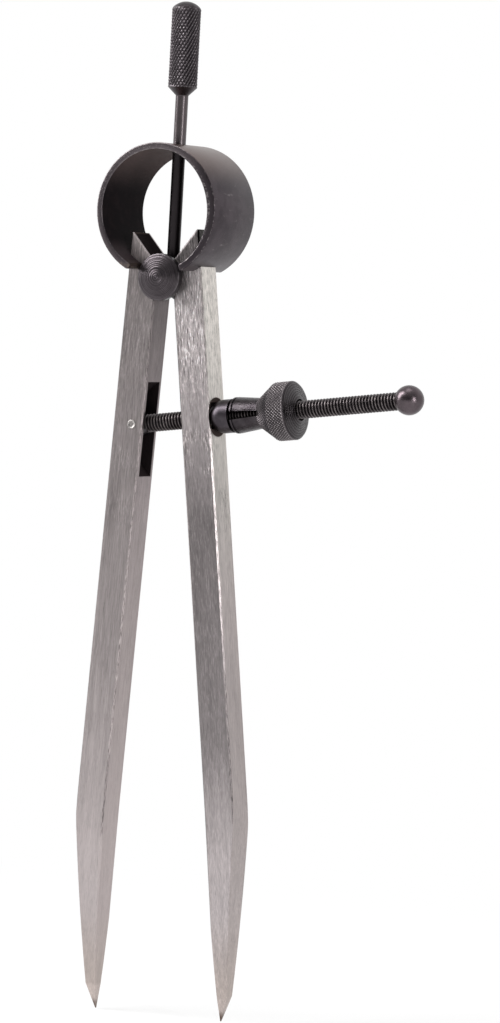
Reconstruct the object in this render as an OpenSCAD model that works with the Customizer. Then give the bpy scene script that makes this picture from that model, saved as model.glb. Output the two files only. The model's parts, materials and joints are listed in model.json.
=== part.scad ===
// Spring divider: two pointed legs hung on a fulcrum stud, sprung apart by a bow,
// and set by a pivoted screw with a quick-release split nut and a ball-seated cup.
// Millimetres. The origin is the middle of the grip, +Z runs up the handle,
// +X is the side that the screw points to, and the legs swing in the XZ plane.

/* [Legs] */
// Length of a leg from the fulcrum to its point
leg_length = 152; // [140:1:170]
// Width and depth of the square bar
leg_bar = 6.7; // [6.2:0.1:7.4]
// Distance from the fulcrum line to a leg's inner face
leg_offset = 1.83; // [1.5:0.05:2.2]
// Angle between the handle axis and the left leg
left_leg_angle = 2.93; // [2:0.05:6]
// Angle between the handle axis and the right leg
right_leg_angle = 7.45; // [4:0.05:9]
// Height of the left leg's top edge above the fulcrum
left_top_height = 8.4; // [8.2:0.05:10]
// Height of the right leg's top edge above the fulcrum
right_top_height = 9.05; // [8.2:0.05:10]
// Width of the narrow flat along a leg's top edge
top_flat = 0.35; // [0.2:0.05:0.8]
// Angle of the bevel that clears the handle stem
top_bevel = 45; // [42:1:48]
// Distance from the fulcrum to the start of the taper
taper_start = 110.3; // [90:0.1:118]
// Radius that blends the outer face into its taper
taper_blend = 60; // [20:5:160]
// Distance from the fulcrum to the start of the thinning in depth
thinning_start = 112; // [95:1:118]
// Length of the ground point
point_length = 5; // [3:0.5:8]
// Width and depth of the bar where the ground point starts
point_bar = 2.3; // [1.6:0.1:2.8]
// Distance from the fulcrum line to the point
point_offset = 0.89; // [0.7:0.01:1.2]
// Width of the blunted tip
tip_flat = 0.16; // [0.1:0.02:0.4]
// Broken corner along the bar
bar_chamfer = 0.3; // [0.1:0.05:0.6]

/* [Travel] */
// Swing of each leg from rest to fully open
open_swing = 20; // [10:1:21]
// Swing of each leg from rest to closed points
close_swing = 5.4; // [3:0.1:5.4]

/* [Fulcrum stud] */
// Radius of the roller that the legs embrace
roller_r = 3.2; // [2.8:0.1:3.6]
// Radius of the two heads
head_r = 4.8; // [4.2:0.1:5.4]
// Thickness of each head
head_thickness = 2.4; // [1.6:0.1:3]
// Chamfer round each head
head_chamfer = 0.3; // [0.1:0.05:0.6]
// Radius of the turning centre in each head
centre_r = 0.4; // [0.3:0.05:1]

/* [Bow spring] */
// Outer radius of the bow
bow_r = 13.65; // [12.8:0.05:14.6]
// Width of the bow strip
bow_width = 17.2; // [14:0.1:19]
// Thickness of the bow strip
bow_thickness = 1.35; // [1:0.05:2]
// Height of the bow's centre above the fulcrum
bow_height = 13.5; // [13:0.05:14.2]
// Angle from straight down to the left end of the bow
left_end_angle = 25; // [24:1:35]
// Angle from straight down to the right end of the bow
right_end_angle = 32; // [24:1:35]
// Broken corner of the strip
bow_chamfer = 0.25; // [0.1:0.05:0.5]
// Flare of the notch that a bow end sits in
notch_flare = 12; // [8:1:16]

/* [Handle] */
// Radius of the grip
grip_r = 3; // [2.5:0.1:4]
// Length of the plain cylinder of the grip
grip_length = 15.9; // [12:0.1:24]
// Height of the grip's domed end
grip_dome = 1.5; // [0.8:0.1:2.5]
// Length of the cone under the grip
grip_cone = 1.66; // [1:0.02:4]
// Radius of the stem
stem_r = 1.3; // [1:0.05:1.6]
// Height of the grip cylinder's lower end above the fulcrum
grip_height = 38.7; // [34:0.1:50]
// Depth of the stem's end below the fulcrum centre
stem_depth = 1.2; // [0.4:0.1:1.6]

/* [Adjusting screw] */
// Radius over the thread crests
screw_r = 1.85; // [1.6:0.05:2]
// Distance from the pivot pin to the end ball's centre
screw_length = 61.5; // [58:0.5:75]
// Radius of the end ball
ball_r = 3; // [2.6:0.1:4]
// Radius of the eye on the pivot pin
eye_r = 2.3; // [2.1:0.05:2.5]
// Radius of the pivot pin
pin_r = 0.95; // [0.7:0.05:1.1]
// How far the riveted pin stands proud of each side
pin_proud = 0.15; // [0.05:0.05:0.3]
// Distance from the fulcrum to the pin along the left leg
pin_drop = 30.6; // [28:0.1:34]
// Depth of the pin behind the left leg's inner face
pin_depth = 2.42; // [2.2:0.02:2.6]
// Width of the cutter slot in the left leg
slot_width = 4.8; // [4.4:0.1:5.2]
// Depth of the cutter slot
slot_depth = 5; // [4.8:0.1:5.4]
// Radius of the disc cutter that makes the slot
cutter_r = 12.1; // [11:0.1:14]
// How far the middle of the cutter slot lies below the pin
slot_shift = 0.8; // [0:0.1:1.2]

/* [Cup and split nut] */
// Radius of the cup's ball face
cup_r = 3.45; // [3.4:0.05:3.9]
// Length of the cup's plain skirt behind its ball face
cup_skirt = 1.85; // [1.6:0.05:2.4]
// Distance from the right leg's outer face to the centre of the cup's ball face
cup_stand = 2; // [1.8:0.05:2.3]
// Radius of the cup's conical mouth
mouth_r = 3.1; // [3:0.05:3.2]
// Depth of the cup's conical mouth
mouth_depth = 1.3; // [1:0.1:1.4]
// Half the angle of the cup's conical mouth
mouth_angle = 35; // [30:1:36]
// Radius of the countersink that opens the seat
countersink_r = 4.25; // [4:0.05:4.6]
// Depth of that countersink
countersink_depth = 0.6; // [0.4:0.05:0.7]
// Length of the nose inside the cup
nose_length = 0.9; // [0.6:0.05:1.1]
// Gap between the cup's rim and the jaws
jaw_gap = 0.7; // [0.4:0.05:1]
// Length of the jaws
jaw_length = 5.75; // [5:0.05:9]
// Radius of the jaws at their tips
jaw_tip_r = 3.7; // [3.6:0.05:4.2]
// Radius of the jaws at their roots
jaw_root_r = 3.12; // [2.9:0.02:3.4]
// Length of the collar at the jaw tips, and of the groove behind it
collar_length = 0.4; // [0.3:0.05:0.6]
// Depth of that groove
groove_depth = 0.3; // [0.1:0.05:0.5]
// Width of the split at the jaw tips
split_tip = 2.1; // [1.2:0.1:2.2]
// Width of the split at the jaw roots
split_root = 1; // [0.6:0.1:1.2]
// How far the split runs past the jaw roots
split_past = 0.8; // [0.4:0.1:1.2]
// Length of the conical shoulder
shoulder_length = 3.5; // [2.5:0.1:5]
// Radius of the finger band
band_r = 6; // [5:0.1:7.5]
// Length of the finger band
band_length = 4.2; // [2.5:0.1:6]
// Chamfer round the finger band
band_chamfer = 0.35; // [0.1:0.05:0.6]
// Depth of the hollow in the nut's outer face
face_dish = 0.6; // [0.2:0.1:1]
// Radius of the clearance bore behind the jaws
relief_r = 2.45; // [2.3:0.05:2.7]

/* [Fits] */
// Running clearance of a turning fit, on the radius
running_fit = 0.05; // [0.02:0.01:0.1]
// Clearance of a fixed fit, on the radius
fixed_fit = 0.02; // [0.01:0.01:0.04]
// Side clearance between a leg and each stud head
side_play = 0.1; // [0.05:0.05:0.3]
// Clearance round the bow's ends, the stem and the screw
free_play = 0.25; // [0.15:0.05:0.3]

/* [Hidden] */
$fn = 64;

// Overshoot of cuts past the faces that they open
over = 1;
// Facets along a curved stretch of a leg's outline
curve_steps = 10;

black_steel = "#3b3638";
bright_steel = "#b9b4ae";

half_bar = leg_bar / 2;
leg_outer = leg_offset + leg_bar;
left = -1;
right = 1;
stud_span = half_bar + side_play;
fulcrum_z = -(grip_height + grip_length / 2);

// A leg's own plane: first its outward distance from the fulcrum line, then its height above the
// fulcrum along the leg. leg_point() gives the X and Z of such a point with the leg at an angle.
function leg_point(side, angle, p) =
    [side * (p[0] * cos(angle) - p[1] * sin(angle)), p[0] * sin(angle) + p[1] * cos(angle)];

// The pin and the cup's centre lie equally far from the fulcrum, so the screw keeps its angle
pin_place = [leg_offset + pin_depth, -pin_drop];
cup_place = [leg_outer + cup_stand, -sqrt(pow(norm(pin_place), 2) - pow(leg_outer + cup_stand, 2))];
pin_at = leg_point(left, left_leg_angle, pin_place);
cup_at = leg_point(right, right_leg_angle, cup_place);
screw_tilt = atan2(cup_at[1] - pin_at[1], cup_at[0] - pin_at[0]);
cup_distance = norm(cup_at - pin_at);

// Places along the screw, measured from the centre of the cup's ball face
jaw_tip = cup_skirt + jaw_gap;
jaw_root = jaw_tip + jaw_length;
band_start = jaw_root + shoulder_length;
nut_end = band_start + band_length;

module at_fulcrum() {
    translate([0, 0, fulcrum_z]) children();
}

module in_leg(side, angle) {
    if (side == left)
        mirror([1, 0, 0]) rotate([0, -angle, 0]) children();
    else
        rotate([0, -angle, 0]) children();
}

// Screw frame: +Z runs from the pin to the ball, and Y is the pin's axis
module on_screw(distance) {
    at_fulcrum() translate([pin_at[0], 0, pin_at[1]]) rotate([0, 90 - screw_tilt, 0])
        translate([0, 0, distance]) children();
}

// Extrudes an XZ outline evenly to both sides of Y = 0
module across(depth) {
    rotate([90, 0, 0]) linear_extrude(height = depth, center = true) children();
}

// Pin or bore along Y
module cross_cylinder(r, length) {
    rotate([90, 0, 0]) cylinder(r = r, h = length, center = true);
}

// Outer face below the bar: an arc tangent to the bar, then a straight taper to the ground point
taper_drop = leg_length - point_length - taper_start;
point_inner = point_offset + point_length * (leg_offset - point_offset) / (leg_length - taper_start);
taper_angle = atan2(leg_outer - point_inner - point_bar, taper_drop);
blend_length = taper_blend * tan(taper_angle / 2);
outer_curve = [
    for (i = [0 : curve_steps])
        let (a = taper_angle * i / curve_steps)
        [leg_outer - taper_blend * (1 - cos(a)), blend_length - taper_start - taper_blend * sin(a)]
];

module leg_front_outline(top) {
    bevel_foot = top - (leg_bar - top_flat) / tan(top_bevel);
    polygon(concat(
        [
            [leg_offset, bevel_foot],
            [leg_outer - top_flat, top],
            [leg_outer, top]
        ],
        outer_curve,
        [
            [point_inner + point_bar, point_length - leg_length],
            [point_offset + tip_flat, -leg_length],
            [point_offset, -leg_length],
            [leg_offset, -taper_start]
        ]
    ));
}

// Depth of the bar: full down to the thinning, then both faces curve in to the ground point
module leg_side_outline(top) {
    thinning = leg_length - point_length - thinning_start;
    half_side = [
        for (i = [0 : curve_steps])
            let (share = i / curve_steps)
            [half_bar - (half_bar - point_bar / 2) * share * share, -thinning_start - thinning * share]
    ];
    tip = [[tip_flat / 2, -leg_length]];
    edge = concat([[half_bar, top + over]], half_side, tip);
    polygon(concat(edge, [for (i = [len(edge) - 1 : -1 : 0]) [-edge[i][0], edge[i][1]]]));
}

// Square turned on its corner, whose sides break the long edges of the bar
module bar_section() {
    rotate(45) square(sqrt(2) * (leg_bar - bar_chamfer), center = true);
}

module leg_blank(top) {
    span = leg_length + top + 2 * over;
    intersection() {
        across(leg_bar + 2 * over) leg_front_outline(top);
        rotate([90, 0, 90]) linear_extrude(height = 2 * leg_outer + 2 * over, center = true)
            leg_side_outline(top);
        translate([leg_offset + half_bar, 0, -leg_length - over]) linear_extrude(height = span) bar_section();
    }
}

// Notch in the outer face, flared along the strip so that the bow's end can rock in it
module bow_notch(end_angle) {
    end_r = bow_r - bow_thickness / 2;
    end_at = [end_r * sin(end_angle), bow_height - end_r * cos(end_angle)];
    inward = [-cos(end_angle), -sin(end_angle)];
    upward = [-sin(end_angle), cos(end_angle)];
    floor_half = bow_thickness / 2 + free_play;
    mouth = leg_bar;
    mouth_half = floor_half + mouth * tan(notch_flare);
    floor_at = end_at + inward * free_play;
    mouth_at = end_at - inward * mouth;
    across(leg_bar + 2 * over) polygon([
        floor_at + upward * floor_half, floor_at - upward * floor_half,
        mouth_at - upward * mouth_half, mouth_at + upward * mouth_half
    ]);
}

// Channel for the handle stem when the leg is fully open
module stem_channel(angle) {
    width = 2 * (stem_r + free_play);
    rotate([0, angle + open_swing, 0]) translate([-width / 2, -width / 2, 0])
        cube([width, width, bow_height]);
}

module sprung_leg(side, angle, top) {
    at_fulcrum() difference() {
        in_leg(side, angle) difference() {
            leg_blank(top);
            cross_cylinder(roller_r + running_fit, leg_bar + 2 * over);
            stem_channel(angle);
            children();
        }
        if (side == left)
            mirror([1, 0, 0]) bow_notch(left_end_angle);
        else
            bow_notch(right_end_angle);
    }
}

module left_leg() {
    color(bright_steel) sprung_leg(left, left_leg_angle, left_top_height) {
        union() {
            translate([leg_offset + slot_depth - cutter_r, 0, -pin_drop - slot_shift])
                cross_cylinder(cutter_r, slot_width);
            translate([pin_place[0], 0, -pin_drop]) cross_cylinder(pin_r + fixed_fit, leg_bar + 2 * over);
        }
    }
}

// Wedge that the screw sweeps through the right leg, between its closed and open angles
module screw_window() {
    reach = leg_bar + cup_stand + over;
    low = right_leg_angle - close_swing - screw_tilt;
    high = right_leg_angle + open_swing - screw_tilt;
    gap = screw_r + free_play;
    across(2 * gap) translate(cup_place) polygon([
        [0, -gap / cos(low)], [0, gap / cos(high)],
        [-reach, reach * tan(high) + gap / cos(high)], [-reach, reach * tan(low) - gap / cos(low)]
    ]);
}

module right_leg() {
    seat_r = cup_r + running_fit;
    seat_at = sqrt(pow(seat_r, 2) - pow(cup_stand + countersink_depth, 2));
    color(bright_steel) sprung_leg(right, right_leg_angle, right_top_height) {
        union() {
            screw_window();
            translate([cup_place[0], 0, cup_place[1]]) sphere(r = seat_r);
            translate([leg_outer - countersink_depth, 0, cup_place[1]]) rotate([0, 90, 0])
                cylinder(r1 = seat_at, r2 = countersink_r, h = countersink_depth);
        }
    }
}

module handle() {
    cone_foot = grip_height - grip_cone;
    grip_top = grip_height + grip_length;
    dome_r = (pow(grip_r, 2) + pow(grip_dome, 2)) / (2 * grip_dome);
    color(black_steel) at_fulcrum() union() {
        rotate_extrude() polygon([
            [0, -stem_depth], [stem_r, -stem_depth], [stem_r, cone_foot],
            [grip_r, grip_height], [grip_r, grip_top], [0, grip_top]
        ]);
        intersection() {
            translate([0, 0, grip_top + grip_dome - dome_r]) sphere(r = dome_r);
            translate([0, 0, grip_top - over]) cylinder(r = grip_r, h = grip_dome + 2 * over);
        }
    }
}

module fulcrum_stud() {
    face = stud_span + head_thickness;
    color(black_steel) at_fulcrum() difference() {
        rotate([90, 0, 0]) rotate_extrude() polygon([
            [0, centre_r - face], [centre_r, -face], [head_r - head_chamfer, -face],
            [head_r, head_chamfer - face], [head_r, -stud_span], [roller_r, -stud_span],
            [roller_r, stud_span], [head_r, stud_span], [head_r, face - head_chamfer],
            [head_r - head_chamfer, face], [centre_r, face], [0, face - centre_r]
        ]);
        translate([0, 0, -stem_depth]) cylinder(r = stem_r + fixed_fit, h = head_r + stem_depth + over);
    }
}

module bow_spring() {
    inner = bow_r - bow_thickness;
    half_width = bow_width / 2;
    color(black_steel) at_fulcrum() translate([0, 0, bow_height]) difference() {
        rotate([90, 0, 0]) rotate([0, 0, right_end_angle - 90])
            rotate_extrude(angle = 360 - left_end_angle - right_end_angle, $fn = 96) polygon([
                [inner + bow_chamfer, -half_width], [bow_r - bow_chamfer, -half_width],
                [bow_r, bow_chamfer - half_width], [bow_r, half_width - bow_chamfer],
                [bow_r - bow_chamfer, half_width], [inner + bow_chamfer, half_width],
                [inner, half_width - bow_chamfer], [inner, bow_chamfer - half_width]
            ]);
        translate([0, 0, inner - over]) cylinder(r = stem_r + free_play, h = bow_thickness + 2 * over);
    }
}

module screw_pivot_pin() {
    length = leg_bar + 2 * pin_proud;
    color(bright_steel) on_screw(0) cross_cylinder(pin_r, length);
}

module adjusting_screw() {
    color(black_steel) on_screw(0) difference() {
        union() {
            cross_cylinder(eye_r, slot_width - 2 * free_play);
            cylinder(r = screw_r, h = screw_length);
        }
        cross_cylinder(pin_r + running_fit, slot_width + 2 * over);
    }
}

module end_ball() {
    color(black_steel) on_screw(screw_length) difference() {
        sphere(r = ball_r);
        translate([0, 0, -ball_r - over]) cylinder(r = screw_r + fixed_fit, h = ball_r + over);
    }
}

module cup_washer() {
    bore_r = screw_r + free_play;
    floor_r = mouth_r - mouth_depth * tan(mouth_angle);
    color(black_steel) on_screw(cup_distance) difference() {
        union() {
            difference() {
                sphere(r = cup_r);
                cylinder(r = cup_r + over, h = cup_r + over);
            }
            cylinder(r = cup_r, h = cup_skirt);
        }
        translate([0, 0, -cup_r - over]) cylinder(r = bore_r, h = cup_r + cup_skirt + 2 * over);
        translate([0, 0, cup_skirt - mouth_depth]) cylinder(r1 = floor_r, r2 = mouth_r, h = mouth_depth);
    }
}

module split_nut() {
    nose_r = mouth_r - free_play;
    nose_slope = tan(mouth_angle);
    nose_end = cup_skirt - nose_length;
    groove_start = jaw_tip + collar_length;
    groove_end = groove_start + collar_length;
    thread_r = screw_r + running_fit;
    split_end = jaw_root + split_past;
    color(black_steel) on_screw(cup_distance) difference() {
        rotate_extrude() polygon([
            [thread_r, nose_end], [nose_r - nose_length * nose_slope, nose_end],
            [nose_r + jaw_gap * nose_slope, jaw_tip], [jaw_tip_r, jaw_tip], [jaw_tip_r, groove_start],
            [jaw_tip_r - groove_depth, groove_start], [jaw_tip_r - groove_depth, groove_end],
            [jaw_tip_r, groove_end], [jaw_root_r, jaw_root],
            [band_r - band_chamfer, band_start], [band_r, band_start + band_chamfer],
            [band_r, nut_end - band_chamfer], [band_r - band_chamfer, nut_end],
            [relief_r, nut_end - face_dish], [relief_r, jaw_root], [thread_r, jaw_root]
        ]);
        across(2 * band_r) polygon([
            [-split_tip / 2, nose_end - over], [split_tip / 2, nose_end - over],
            [split_root / 2, split_end], [-split_root / 2, split_end]
        ]);
    }
}

handle();
fulcrum_stud();
bow_spring();
left_leg();
right_leg();
screw_pivot_pin();
adjusting_screw();
end_ball();
cup_washer();
split_nut();
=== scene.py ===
import json
import math
import bmesh
import bpy
from mathutils import Matrix, Vector


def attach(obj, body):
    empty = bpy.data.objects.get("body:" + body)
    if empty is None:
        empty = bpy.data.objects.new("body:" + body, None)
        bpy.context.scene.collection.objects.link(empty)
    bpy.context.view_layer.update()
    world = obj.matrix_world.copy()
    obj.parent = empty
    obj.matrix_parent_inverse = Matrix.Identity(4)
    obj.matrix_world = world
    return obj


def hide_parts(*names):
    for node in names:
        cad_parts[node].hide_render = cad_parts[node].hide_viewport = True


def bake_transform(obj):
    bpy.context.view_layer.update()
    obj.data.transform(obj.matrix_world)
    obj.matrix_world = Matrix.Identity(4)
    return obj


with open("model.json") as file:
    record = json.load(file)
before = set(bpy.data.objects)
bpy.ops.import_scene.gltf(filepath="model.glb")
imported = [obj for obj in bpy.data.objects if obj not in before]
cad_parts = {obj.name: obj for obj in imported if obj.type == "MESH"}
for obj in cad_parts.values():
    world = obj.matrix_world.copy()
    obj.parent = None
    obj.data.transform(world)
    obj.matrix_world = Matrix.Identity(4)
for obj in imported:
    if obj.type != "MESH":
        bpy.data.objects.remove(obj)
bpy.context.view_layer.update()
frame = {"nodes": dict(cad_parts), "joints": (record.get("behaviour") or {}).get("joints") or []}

mm = 0.001
nodes = frame["nodes"]
joints = {joint["name"]: joint for joint in frame["joints"]}
fulcrum = Vector(joints["left_leg_swing"]["pos_m"])
pinAt = Vector(joints["screw_pivot"]["pos_m"])
cupAt = Vector(joints["cup_rock"]["pos_m"])
screwLine = Vector(joints["nut_spin"]["axis"]).normalized()
print("frame loaded:", len(nodes), "nodes")


# Shader sockets: one wrapper, so that masks read as plain sums

class Wire:
    def __init__(self, tree, socket=None):
        self.tree = tree
        self.socket = socket

    # Adds a node, sets it up, then gives its inputs their values or links
    def add(self, kind, settings, inputs, out=0):
        node = self.tree.nodes.new(kind)
        for name, value in settings.items():
            if name == "stops":
                fillRamp(node.color_ramp, value)
            else:
                setattr(node, name, value)
        for name, value in inputs.items():
            if isinstance(value, Wire):
                self.tree.links.new(value.socket, node.inputs[name])
            else:
                node.inputs[name].default_value = value
        return Wire(self.tree, node.outputs[out]) if len(node.outputs) else None

    def maths(self, operation, first, second=0.0):
        return self.add("ShaderNodeMath", {"operation": operation}, {0: first, 1: second})

    def __add__(self, other):
        return self.maths("ADD", self, other)

    def __radd__(self, other):
        return self.maths("ADD", other, self)

    def __sub__(self, other):
        return self.maths("SUBTRACT", self, other)

    def __rsub__(self, other):
        return self.maths("SUBTRACT", other, self)

    def __mul__(self, other):
        return self.maths("MULTIPLY", self, other)

    def __rmul__(self, other):
        return self.maths("MULTIPLY", other, self)

    def span(self, low, high, start=0.0, end=1.0):
        return self.add("ShaderNodeMapRange", {"interpolation_type": "SMOOTHSTEP"},
                        {0: self, 1: low, 2: high, 3: start, 4: end})

    def stretch(self, factors):
        return self.add("ShaderNodeVectorMath", {"operation": "MULTIPLY"}, {0: self, 1: factors})

    def noise(self, scale, detail, rough):
        return self.add("ShaderNodeTexNoise", {}, {"Vector": self, "Scale": scale, "Detail": detail,
                                                   "Roughness": rough})

    # A noise's scale, detail and roughness, then the stretch of it that shows
    def blotches(self, scale, detail, rough, low, high):
        return self.noise(scale, detail, rough).span(low, high)

    def part(self, axis):
        return self.add("ShaderNodeSeparateXYZ", {}, {0: self}, axis)

    # Mixes two wires or plain colours by this mask
    def between(self, first, second):
        first, second = (side if isinstance(side, Wire) else tone(side) for side in (first, second))
        return self.add("ShaderNodeMix", {"data_type": "RGBA"}, {0: self, 6: first, 7: second}, 2)

    def lengthOf(self):
        return self.add("ShaderNodeVectorMath", {"operation": "LENGTH"}, {0: self}, 1)

    def size(self):
        return self.maths("ABSOLUTE", self)

    def most(self, other):
        return self.maths("MAXIMUM", self, other)

    def least(self, other):
        return self.maths("MINIMUM", self, other)


def fillRamp(ramp, stops):
    while len(ramp.elements) > 1:
        ramp.elements.remove(ramp.elements[-1])
    for index, (place, colour) in enumerate(stops):
        stop = ramp.elements[0] if index == 0 else ramp.elements.new(place)
        stop.position = place
        stop.color = colour


def tone(colour):
    return (*colour, 1.0)


def newLook(name):
    material = bpy.data.materials.new(name)
    material.use_nodes = True
    material.node_tree.nodes.clear()
    return material, Wire(material.node_tree)


# Coordinates in millimetres, from a chosen origin and turned about Y
def placed(wire, origin=(0.0, 0.0, 0.0), turn=0.0):
    raw = wire.add("ShaderNodeTexCoord", {}, {}, "Object")
    return wire.add("ShaderNodeMapping", {"vector_type": "TEXTURE"},
                    {0: raw, 1: origin, 2: (0.0, turn, 0.0), 3: (mm, mm, mm)})


def facing(wire, turn):
    raw = wire.add("ShaderNodeTexCoord", {}, {}, "Normal")
    return wire.add("ShaderNodeMapping", {"vector_type": "TEXTURE"}, {0: raw, 2: (0.0, turn, 0.0)})


# Distance from the piece's own Z axis
def fromAxis(point):
    return point.stretch((1, 1, 0)).lengthOf()


# Ends a finish: colour, gloss and fine relief go into one shader
def closeLook(wire, given, colour, rough, height, **others):
    bump = wire.add("ShaderNodeBump", {}, {"Strength": 1.0, "Distance": given["bump"] * mm, "Height": height})
    sockets = {"Base Color": colour, "Roughness": rough, "Normal": bump, "Metallic": given["metal"], **others}
    shader = wire.add("ShaderNodeBsdfPrincipled", {}, sockets)
    wire.add("ShaderNodeOutputMaterial", {}, {"Surface": shader})


# Clearing the slots resets which face has which finish, so a bare piece is left as it is
def wear(piece, *materials):
    if piece.data.materials:
        piece.data.materials.clear()
    for material in materials:
        piece.data.materials.append(material)


# Mesh helpers

def shadeSmooth(bm, crisp):
    for face in bm.faces:
        face.smooth = True
    for edge in bm.edges:
        if len(edge.link_faces) == 2:
            edge.smooth = edge.calc_face_angle(0.0) <= math.radians(crisp)


# Makes the object; edges sharper than the crisp angle, in degrees, stay sharp
def finishMesh(name, bm, crisp=30):
    bm.normal_update()
    shadeSmooth(bm, crisp)
    mesh = bpy.data.meshes.new(name)
    bm.to_mesh(mesh)
    bm.free()
    made = bpy.data.objects.new(name, mesh)
    bpy.context.scene.collection.objects.link(made)
    return made


# Rounds a profile's corners with a small curve, which takes under half of a stretch
def eased(points, reach, steps=4, largest=0.45):
    curve = [points[0]]
    for before, corner, after in zip(points, points[1:], points[2:]):
        before, corner, after = Vector(before), Vector(corner), Vector(after)
        inLength, outLength = (before - corner).length, (after - corner).length
        start = corner + (before - corner) * min(reach / inLength, largest)
        end = corner + (after - corner) * min(reach / outLength, largest)
        for step in range(steps + 1):
            share = step / steps
            curve.append(tuple(start * (1 - share) ** 2 + corner * 2 * share * (1 - share)
                               + end * share ** 2))
    curve.append(points[-1])
    return curve


# Splits a profile's stretches into rows no longer than the step
def closeRows(points, step):
    rows = [points[0]]
    for before, after in zip(points, points[1:]):
        pieces = max(1, math.ceil((Vector(after) - Vector(before)).length / step))
        for piece in range(1, pieces + 1):
            rows.append(tuple(Vector(before).lerp(Vector(after), piece / pieces)))
    return rows


def ringPoint(radius, angle, height):
    return (radius * mm * math.cos(angle), radius * mm * math.sin(angle), height * mm)


# Turns a profile of (radius, height) in millimetres about its axis; a ring's profile ends where it starts
def turned(profile, around, ring=False, relief=None):
    bm = bmesh.new()
    rows = []
    for radius, height in profile:
        if radius < 1e-6:  # a point on the axis
            rows.append([bm.verts.new((0.0, 0.0, height * mm))] * around)
            continue
        row = []
        for index in range(around):
            angle = 2 * math.pi * index / around
            reach = radius - (relief(angle, radius, height) if relief else 0.0)
            row.append(bm.verts.new(ringPoint(reach, angle, height)))
        rows.append(row)
    pairs = list(zip(rows, rows[1:]))
    if ring:
        pairs.append((rows[-1], rows[0]))
    for low, high in pairs:
        for index in range(around):
            after = (index + 1) % around
            corners = []
            for vert in (low[index], low[after], high[after], high[index]):
                if vert not in corners:
                    corners.append(vert)
            if len(corners) > 2:
                bm.faces.new(corners)
    bmesh.ops.recalc_face_normals(bm, faces=bm.faces)
    return bm


# Walls between rows of corners, closed at both ends; one wall may take the second finish
def skinRows(bm, rows, secondWall=None):
    count = len(rows[0])
    for low, high in zip(rows, rows[1:]):
        for index in range(count):
            after = (index + 1) % count
            wall = bm.faces.new((low[index], low[after], high[after], high[index]))
            wall.material_index = 1 if index == secondWall else 0
    bm.faces.new(rows[0])
    bm.faces.new(rows[-1])
    bmesh.ops.recalc_face_normals(bm, faces=bm.faces)


# A plain cylinder to cut with
def borer(name, radius, low, high, sides=48):
    profile = [(0.0, low), (radius, low), (radius, high), (0.0, high)]
    return finishMesh(name, turned(profile, sides))


# Cuts one closed mesh with another and keeps the result, without its slivers, as the piece's own mesh
def cutBy(piece, tool, crisp):
    sliver = 0.003 * mm
    bpy.context.view_layer.update()
    modifier = piece.modifiers.new("cut", "BOOLEAN")
    modifier.operation = "DIFFERENCE"
    modifier.solver = "EXACT"
    modifier.object = tool
    ready = piece.evaluated_get(bpy.context.evaluated_depsgraph_get())
    mesh = bpy.data.meshes.new_from_object(ready)
    piece.modifiers.clear()
    bm = bmesh.new()
    bm.from_mesh(mesh)
    bmesh.ops.remove_doubles(bm, verts=bm.verts, dist=sliver)
    manySided = [face for face in bm.faces if len(face.verts) > 4]
    bmesh.ops.triangulate(bm, faces=manySided, ngon_method="BEAUTY")
    bmesh.ops.dissolve_degenerate(bm, edges=bm.edges, dist=sliver)
    shadeSmooth(bm, crisp)
    bm.to_mesh(mesh)
    bm.free()
    piece.data = mesh
    bpy.data.objects.remove(tool)


def saw(value):
    return abs(2 * (value % 1.0) - 1.0)


# A crossed knurl between two heights, outside the skin's radius: two families of V cuts, the second shallower
def knurlCuts(given, low, high, skin):
    def relief(angle, radius, height):
        inset = min(height - low, high - height)
        if inset <= 0 or radius < skin:
            return 0.0
        turns = given["knurlCount"] * angle / (2 * math.pi)
        lean = height * given["knurlLean"]
        cut = given["knurlDepth"] * max(saw(turns - lean), saw(turns + lean) * given["knurlSecond"])
        return cut * min(1.0, inset / given["knurlFade"])
    return relief


def alongScrew(origin):
    across = Vector((0.0, 1.0, 0.0))
    third = across.cross(screwLine)
    turn = Matrix((third, across, screwLine)).transposed().to_4x4()
    return Matrix.Translation(origin) @ turn


def alongDepth(origin):
    return Matrix.Translation(origin) @ Matrix.Rotation(math.radians(90), 4, "X")


print("helpers ready")


# Camera

cameraSet = {"azimuth": 27.667, "elevation": 3.5, "roll": 3.184, "distance": 0.8236,
             "target": (0.020879, 0.0, -0.092906), "lens": 143.24, "sensor": 36.0, "clip": (0.01, 50.0)}


def makeCamera(given):
    azimuth, elevation, roll = (math.radians(given[key]) for key in ("azimuth", "elevation", "roll"))
    back = Vector((math.sin(azimuth) * math.cos(elevation), -math.cos(azimuth) * math.cos(elevation),
                   math.sin(elevation)))
    right = Vector((math.cos(azimuth), math.sin(azimuth), 0.0))
    up = back.cross(right)
    rolledRight = right * math.cos(roll) + up * math.sin(roll)
    rolledUp = up * math.cos(roll) - right * math.sin(roll)
    data = bpy.data.cameras.new("photoCamera")
    data.sensor_width = given["sensor"]
    data.lens = given["lens"]
    data.clip_start, data.clip_end = given["clip"]
    camera = bpy.data.objects.new("photoCamera", data)
    turn = Matrix((rolledRight, rolledUp, back)).transposed().to_4x4()
    camera.matrix_world = Matrix.Translation(Vector(given["target"]) + back * given["distance"]) @ turn
    bpy.context.scene.collection.objects.link(camera)
    bpy.context.scene.camera = camera


makeCamera(cameraSet)
print("camera set")


# Studio: white behind and below, dim in front, a tall lamp at the left and three smaller ones

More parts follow.
